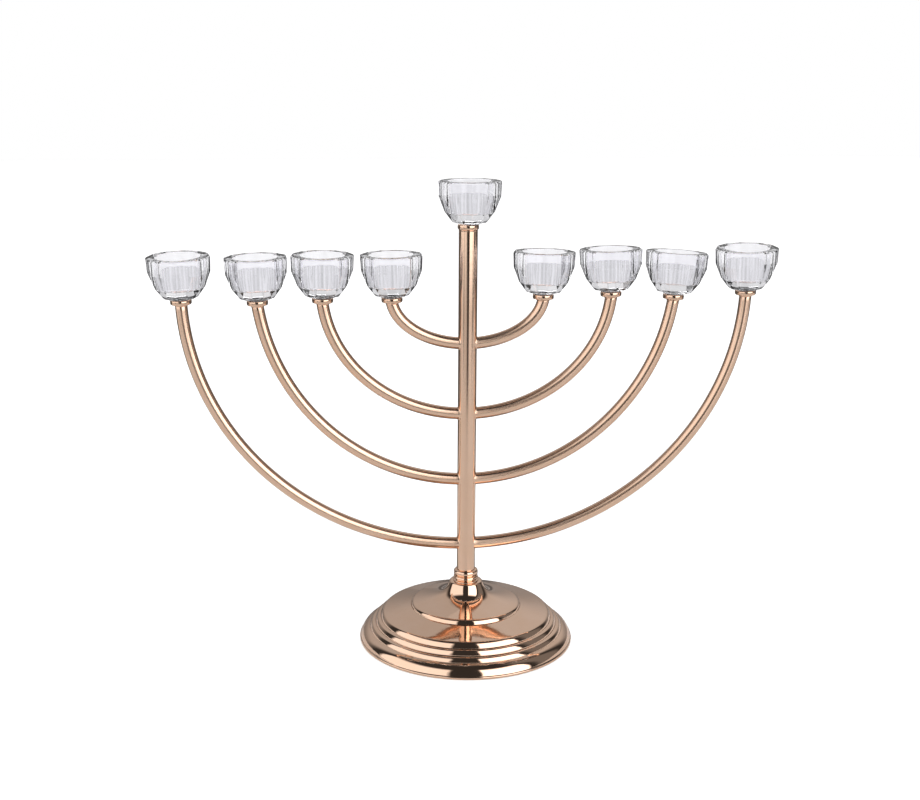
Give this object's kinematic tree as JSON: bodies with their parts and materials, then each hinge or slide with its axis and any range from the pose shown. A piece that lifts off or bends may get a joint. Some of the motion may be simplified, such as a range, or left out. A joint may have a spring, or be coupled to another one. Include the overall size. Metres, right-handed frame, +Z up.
{
  "type": "menorah",
  "caption": "Menorah with curved arms on a straight stem and stepped round foot, each arm and the stem carrying a faceted crystal cup for a tealight.",
  "frame": {"origin": "centre of the felt underside, on the surface that the menorah stands on", "axes": "+Z up the stem, +X along the arms to the right as seen from the front, -Y to the front"},
  "size_m": [0.5736, 0.2032, 0.4361],
  "materials": {
    "rose_gold_plate": "mirror-polished rose gold plating",
    "crystal": "clear polished crystal with flat cut facets",
    "zinc_steel": "plain zinc-plated threaded hardware",
    "raw_iron": "plain dark iron, hidden under the foot",
    "fibre_board": "pressed fibre board",
    "felt": "black pressed felt"
  },
  "bodies": {
    "frame": {"base_shell": "rose_gold_plate", "base_collar": "rose_gold_plate", "stem_tube": "rose_gold_plate", "stem_foot_plug": "zinc_steel", "stem_top_plug": "zinc_steel", "base_rod": "zinc_steel", "base_washer": "zinc_steel", "base_nut": "zinc_steel", "base_weight": "raw_iron", "bottom_board": "fibre_board", "felt_disc": "felt", "arm_left_1": "rose_gold_plate", "arm_left_2": "rose_gold_plate", "arm_left_3": "rose_gold_plate", "arm_left_4": "rose_gold_plate", "arm_right_1": "rose_gold_plate", "arm_right_2": "rose_gold_plate", "arm_right_3": "rose_gold_plate", "arm_right_4": "rose_gold_plate"},
    "light_left_4": {"cup_left_4": "crystal", "ferrule_left_4": "rose_gold_plate", "stud_left_4": "zinc_steel"},
    "light_left_3": {"cup_left_3": "crystal", "ferrule_left_3": "rose_gold_plate", "stud_left_3": "zinc_steel"},
    "light_left_2": {"cup_left_2": "crystal", "ferrule_left_2": "rose_gold_plate", "stud_left_2": "zinc_steel"},
    "light_left_1": {"cup_left_1": "crystal", "ferrule_left_1": "rose_gold_plate", "stud_left_1": "zinc_steel"},
    "light_top": {"cup_top": "crystal", "ferrule_top": "rose_gold_plate", "stud_top": "zinc_steel"},
    "light_right_1": {"cup_right_1": "crystal", "ferrule_right_1": "rose_gold_plate", "stud_right_1": "zinc_steel"},
    "light_right_2": {"cup_right_2": "crystal", "ferrule_right_2": "rose_gold_plate", "stud_right_2": "zinc_steel"},
    "light_right_3": {"cup_right_3": "crystal", "ferrule_right_3": "rose_gold_plate", "stud_right_3": "zinc_steel"},
    "light_right_4": {"cup_right_4": "crystal", "ferrule_right_4": "rose_gold_plate", "stud_right_4": "zinc_steel"}
  },
  "joints": [
    {"name": "lift_left_4", "type": "slide", "parent": "frame", "child": "light_left_4", "axis": [-0.0279, -0.0523, 0.9982], "range_m": [0, 0.05]},
    {"name": "lift_left_3", "type": "slide", "parent": "frame", "child": "light_left_3", "axis": [-0.0244, -0.0174, 0.9995], "range_m": [0, 0.05]},
    {"name": "lift_left_2", "type": "slide", "parent": "frame", "child": "light_left_2", "axis": [0.007, -0.0262, 0.9996], "range_m": [0, 0.05]},
    {"name": "lift_left_1", "type": "slide", "parent": "frame", "child": "light_left_1", "axis": [-0.0175, -0.0087, 0.9998], "range_m": [0, 0.05]},
    {"name": "lift_top", "type": "slide", "parent": "frame", "child": "light_top", "axis": [0, 0, 1], "range_m": [0, 0.05]},
    {"name": "lift_right_1", "type": "slide", "parent": "frame", "child": "light_right_1", "axis": [0.0157, 0.0175, 0.9997], "range_m": [0, 0.05]},
    {"name": "lift_right_2", "type": "slide", "parent": "frame", "child": "light_right_2", "axis": [-0.0297, 0.0174, 0.9994], "range_m": [0, 0.05]},
    {"name": "lift_right_3", "type": "slide", "parent": "frame", "child": "light_right_3", "axis": [0.0593, 0.0348, 0.9976], "range_m": [0, 0.05]},
    {"name": "lift_right_4", "type": "slide", "parent": "frame", "child": "light_right_4", "axis": [-0.0314, -0.0523, 0.9981], "range_m": [0, 0.05]}
  ]
}
